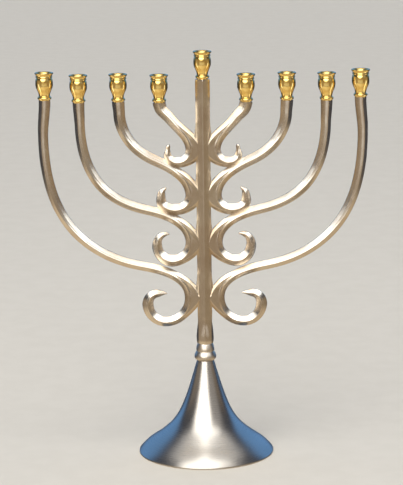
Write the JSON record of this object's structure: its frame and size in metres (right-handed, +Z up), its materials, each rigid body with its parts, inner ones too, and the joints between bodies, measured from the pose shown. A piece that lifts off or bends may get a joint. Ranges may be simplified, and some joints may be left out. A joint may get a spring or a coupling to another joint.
{
  "type": "menorah",
  "caption": "Branched candle holder with scrolled arms in satin nickel, screw-on brass candle cups in a row with a raised middle one, and a flared round base.",
  "frame": {"origin": "centre of the base's footprint, on the surface it stands on", "axes": "+Z up along the stem, X along the row of cups, +Y towards the back"},
  "size_m": [0.288, 0.1184, 0.356],
  "materials": {
    "satin_nickel": "satin",
    "spun_nickel": "brushed round the axis",
    "turned_nickel": "satin, turned",
    "zinc_steel": "bright zinc plate",
    "polished_brass": "polished"
  },
  "bodies": {
    "candelabrum": {"base_shell": "spun_nickel", "lower_collar": "turned_nickel", "upper_collar": "turned_nickel", "stem": "satin_nickel", "arm_left_1": "satin_nickel", "arm_left_2": "satin_nickel", "arm_left_3": "satin_nickel", "arm_left_4": "satin_nickel", "arm_right_1": "satin_nickel", "arm_right_2": "satin_nickel", "arm_right_3": "satin_nickel", "arm_right_4": "satin_nickel", "base_washer": "zinc_steel", "base_nut": "zinc_steel", "tie_rod": "zinc_steel"},
    "stud_middle": {"stud_middle": "zinc_steel"},
    "cup_middle": {"cup_middle": "polished_brass"},
    "stud_left_1": {"stud_left_1": "zinc_steel"},
    "cup_left_1": {"cup_left_1": "polished_brass"},
    "stud_left_2": {"stud_left_2": "zinc_steel"},
    "cup_left_2": {"cup_left_2": "polished_brass"},
    "stud_left_3": {"stud_left_3": "zinc_steel"},
    "cup_left_3": {"cup_left_3": "polished_brass"},
    "stud_left_4": {"stud_left_4": "zinc_steel"},
    "cup_left_4": {"cup_left_4": "polished_brass"},
    "stud_right_1": {"stud_right_1": "zinc_steel"},
    "cup_right_1": {"cup_right_1": "polished_brass"},
    "stud_right_2": {"stud_right_2": "zinc_steel"},
    "cup_right_2": {"cup_right_2": "polished_brass"},
    "stud_right_3": {"stud_right_3": "zinc_steel"},
    "cup_right_3": {"cup_right_3": "polished_brass"},
    "stud_right_4": {"stud_right_4": "zinc_steel"},
    "cup_right_4": {"cup_right_4": "polished_brass"}
  },
  "joints": [
    {"name": "rise_middle", "type": "slide", "parent": "candelabrum", "child": "stud_middle", "axis": [0, 0, 1], "range_m": [0, 0.0042]},
    {"name": "unscrew_middle", "type": "hinge", "parent": "stud_middle", "child": "cup_middle", "pos_m": [0, 0, 0.332], "axis": [0, 0, 1], "range_deg": [0, 2160]},
    {"name": "rise_left_1", "type": "slide", "parent": "candelabrum", "child": "stud_left_1", "axis": [0, 0, 1], "range_m": [0, 0.0042]},
    {"name": "unscrew_left_1", "type": "hinge", "parent": "stud_left_1", "child": "cup_left_1", "pos_m": [-0.136, 0, 0.315], "axis": [0, 0, 1], "range_deg": [0, 2160]},
    {"name": "rise_left_2", "type": "slide", "parent": "candelabrum", "child": "stud_left_2", "axis": [0, 0, 1], "range_m": [0, 0.0042]},
    {"name": "unscrew_left_2", "type": "hinge", "parent": "stud_left_2", "child": "cup_left_2", "pos_m": [-0.1068, 0, 0.3125], "axis": [0, 0, 1], "range_deg": [0, 2160]},
    {"name": "rise_left_3", "type": "slide", "parent": "candelabrum", "child": "stud_left_3", "axis": [0, 0, 1], "range_m": [0, 0.0042]},
    {"name": "unscrew_left_3", "type": "hinge", "parent": "stud_left_3", "child": "cup_left_3", "pos_m": [-0.0726, 0, 0.313], "axis": [0, 0, 1], "range_deg": [0, 2160]},
    {"name": "rise_left_4", "type": "slide", "parent": "candelabrum", "child": "stud_left_4", "axis": [0, 0, 1], "range_m": [0, 0.0042]},
    {"name": "unscrew_left_4", "type": "hinge", "parent": "stud_left_4", "child": "cup_left_4", "pos_m": [-0.0374, 0, 0.312], "axis": [0, 0, 1], "range_deg": [0, 2160]},
    {"name": "rise_right_1", "type": "slide", "parent": "candelabrum", "child": "stud_right_1", "axis": [0, 0, 1], "range_m": [0, 0.0042]},
    {"name": "unscrew_right_1", "type": "hinge", "parent": "stud_right_1", "child": "cup_right_1", "pos_m": [0.136, 0, 0.315], "axis": [0, 0, 1], "range_deg": [0, 2160]},
    {"name": "rise_right_2", "type": "slide", "parent": "candelabrum", "child": "stud_right_2", "axis": [0, 0, 1], "range_m": [0, 0.0042]},
    {"name": "unscrew_right_2", "type": "hinge", "parent": "stud_right_2", "child": "cup_right_2", "pos_m": [0.1068, 0, 0.3125], "axis": [0, 0, 1], "range_deg": [0, 2160]},
    {"name": "rise_right_3", "type": "slide", "parent": "candelabrum", "child": "stud_right_3", "axis": [0, 0, 1], "range_m": [0, 0.0042]},
    {"name": "unscrew_right_3", "type": "hinge", "parent": "stud_right_3", "child": "cup_right_3", "pos_m": [0.0726, 0, 0.313], "axis": [0, 0, 1], "range_deg": [0, 2160]},
    {"name": "rise_right_4", "type": "slide", "parent": "candelabrum", "child": "stud_right_4", "axis": [0, 0, 1], "range_m": [0, 0.0042]},
    {"name": "unscrew_right_4", "type": "hinge", "parent": "stud_right_4", "child": "cup_right_4", "pos_m": [0.0374, 0, 0.312], "axis": [0, 0, 1], "range_deg": [0, 2160]}
  ],
  "couplings": [
    {"joint": "rise_middle", "follows": "unscrew_middle", "m_per_rad": 0.0001114},
    {"joint": "rise_left_1", "follows": "unscrew_left_1", "m_per_rad": 0.0001114},
    {"joint": "rise_left_2", "follows": "unscrew_left_2", "m_per_rad": 0.0001114},
    {"joint": "rise_left_3", "follows": "unscrew_left_3", "m_per_rad": 0.0001114},
    {"joint": "rise_left_4", "follows": "unscrew_left_4", "m_per_rad": 0.0001114},
    {"joint": "rise_right_1", "follows": "unscrew_right_1", "m_per_rad": 0.0001114},
    {"joint": "rise_right_2", "follows": "unscrew_right_2", "m_per_rad": 0.0001114},
    {"joint": "rise_right_3", "follows": "unscrew_right_3", "m_per_rad": 0.0001114},
    {"joint": "rise_right_4", "follows": "unscrew_right_4", "m_per_rad": 0.0001114}
  ]
}
